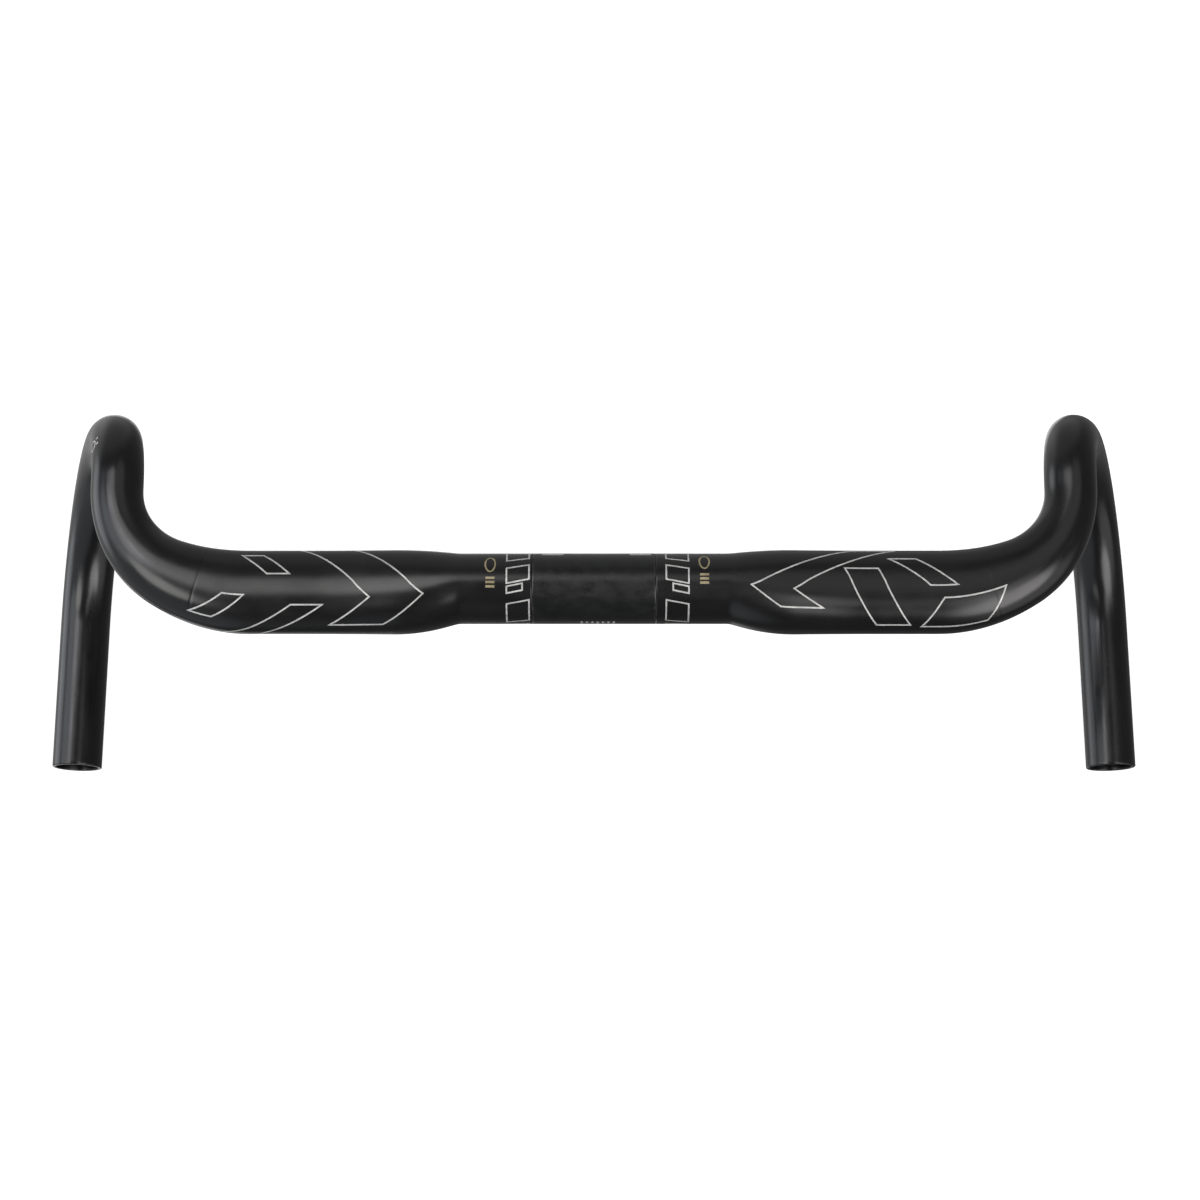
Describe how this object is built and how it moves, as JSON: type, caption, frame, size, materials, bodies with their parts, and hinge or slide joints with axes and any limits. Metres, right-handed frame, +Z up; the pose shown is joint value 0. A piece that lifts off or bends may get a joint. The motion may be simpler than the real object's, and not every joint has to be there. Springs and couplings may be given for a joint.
{
  "type": "drop handlebar",
  "caption": "Flared drop handlebar with a round clamp barrel, flattened tops, compact hooks and open bar ends, built from bonded carbon mouldings.",
  "frame": {"origin": "centre of the clamp barrel, on its axis and halfway between the drops", "axes": "+X along the clamp barrel to the rider's right, +Y forward, +Z up, with the straight ends of the drops level"},
  "size_m": [0.528, 0.1555, 0.148],
  "materials": {
    "carbon": "satin clear-coated carbon fibre",
    "inner_carbon": "raw carbon laminate",
    "adhesive": "cured epoxy",
    "grip_film": "matt, finely textured",
    "silver_print": "satin print",
    "gold_print": "satin print"
  },
  "bodies": {
    "root": {"centre_section": "carbon", "left_drop": "carbon", "right_drop": "carbon", "left_joint_sleeve": "inner_carbon", "right_joint_sleeve": "inner_carbon", "left_joint_adhesive": "adhesive", "right_joint_adhesive": "adhesive", "clamp_grip_film": "grip_film", "left_alignment_mark": "silver_print", "right_alignment_mark": "silver_print", "rear_centring_scale": "silver_print", "left_top_graphic": "silver_print", "right_top_graphic": "silver_print", "left_barrel_graphic": "silver_print", "right_barrel_graphic": "silver_print", "left_size_mark": "gold_print", "right_size_mark": "gold_print", "left_hook_mark": "silver_print"}
  },
  "joints": []
}
